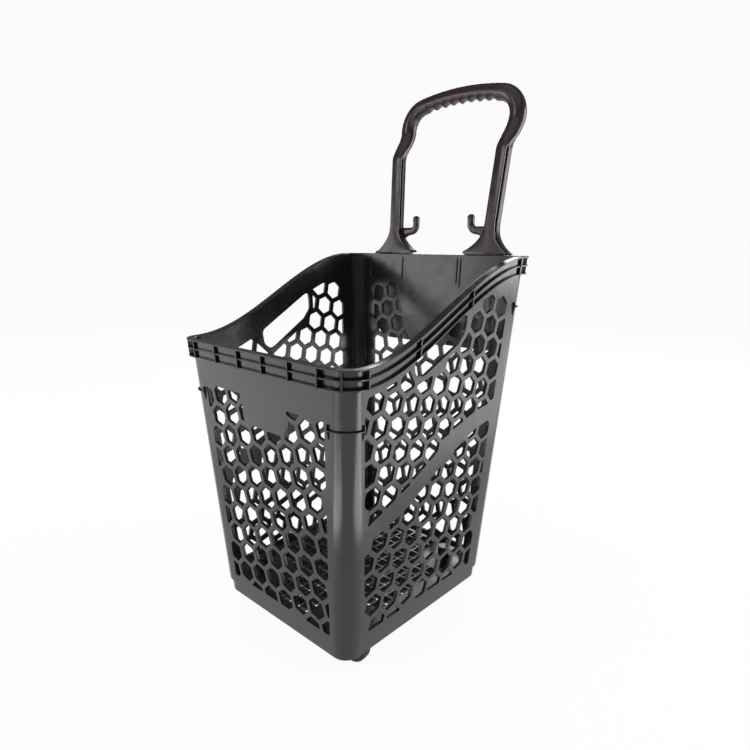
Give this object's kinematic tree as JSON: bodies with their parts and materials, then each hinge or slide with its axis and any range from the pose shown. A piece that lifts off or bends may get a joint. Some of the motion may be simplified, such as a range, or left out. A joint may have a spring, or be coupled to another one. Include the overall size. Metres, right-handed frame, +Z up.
{
  "type": "rolling basket trolley",
  "caption": "Tapered honeycomb plastic shopping basket on small wheels, with swivelling front casters, side hand slots and a fixed arched push handle with bag hooks.",
  "frame": {"origin": "bottom centre of the bounding box, on the floor under the wheels", "axes": "+Z up, +Y to the back where the handle stands, +X to the right seen from the front"},
  "size_m": [0.4178, 0.5136, 0.9151],
  "materials": {
    "basket_plastic": "satin dark grey moulded polypropylene",
    "handle_plastic": "satin brown-black moulded plastic",
    "tyre": "matt black tread",
    "wheel_plastic": "satin dark grey",
    "fork_plastic": "satin black nylon",
    "socket_plastic": "satin dark grey acetal",
    "steel": "zinc plated"
  },
  "bodies": {
    "basket": {"basket_front_wall": "basket_plastic", "basket_back_wall": "basket_plastic", "basket_left_wall": "basket_plastic", "basket_right_wall": "basket_plastic", "basket_corner_front_left": "basket_plastic", "basket_corner_front_right": "basket_plastic", "basket_corner_back_left": "basket_plastic", "basket_corner_back_right": "basket_plastic", "basket_floor": "basket_plastic", "handle": "handle_plastic", "handle_screw_1": "steel", "handle_screw_2": "steel", "handle_screw_3": "steel", "handle_screw_4": "steel", "front_left_socket": "socket_plastic", "rear_left_fork": "fork_plastic", "rear_left_fork_screw": "steel", "rear_left_axle": "steel", "front_right_socket": "socket_plastic", "rear_right_fork": "fork_plastic", "rear_right_fork_screw": "steel", "rear_right_axle": "steel"},
    "front_left_caster": {"front_left_fork": "fork_plastic", "front_left_stem": "steel", "front_left_axle": "steel"},
    "front_left_wheel": {"front_left_hub": "wheel_plastic", "front_left_tyre": "tyre"},
    "rear_left_wheel": {"rear_left_hub": "wheel_plastic", "rear_left_tyre": "tyre"},
    "front_right_caster": {"front_right_fork": "fork_plastic", "front_right_stem": "steel", "front_right_axle": "steel"},
    "front_right_wheel": {"front_right_hub": "wheel_plastic", "front_right_tyre": "tyre"},
    "rear_right_wheel": {"rear_right_hub": "wheel_plastic", "rear_right_tyre": "tyre"}
  },
  "joints": [
    {"name": "front_left_swivel", "type": "hinge", "parent": "basket", "child": "front_left_caster", "pos_m": [-0.1035, -0.17214, 0.0625], "axis": [0, 0, 1], "continuous": true},
    {"name": "front_left_roll", "type": "hinge", "parent": "front_left_caster", "child": "front_left_wheel", "pos_m": [-0.08766, -0.16991, 0.025], "axis": [-0.1392, 0.9903, 0], "continuous": true},
    {"name": "rear_left_roll", "type": "hinge", "parent": "basket", "child": "rear_left_wheel", "pos_m": [-0.108, 0.08836, 0.025], "axis": [1, 0, 0], "continuous": true},
    {"name": "front_right_swivel", "type": "hinge", "parent": "basket", "child": "front_right_caster", "pos_m": [0.1035, -0.17214, 0.0625], "axis": [0, 0, 1], "continuous": true},
    {"name": "front_right_roll", "type": "hinge", "parent": "front_right_caster", "child": "front_right_wheel", "pos_m": [0.11934, -0.16991, 0.025], "axis": [-0.1392, 0.9903, 0], "continuous": true},
    {"name": "rear_right_roll", "type": "hinge", "parent": "basket", "child": "rear_right_wheel", "pos_m": [0.108, 0.08836, 0.025], "axis": [1, 0, 0], "continuous": true}
  ]
}
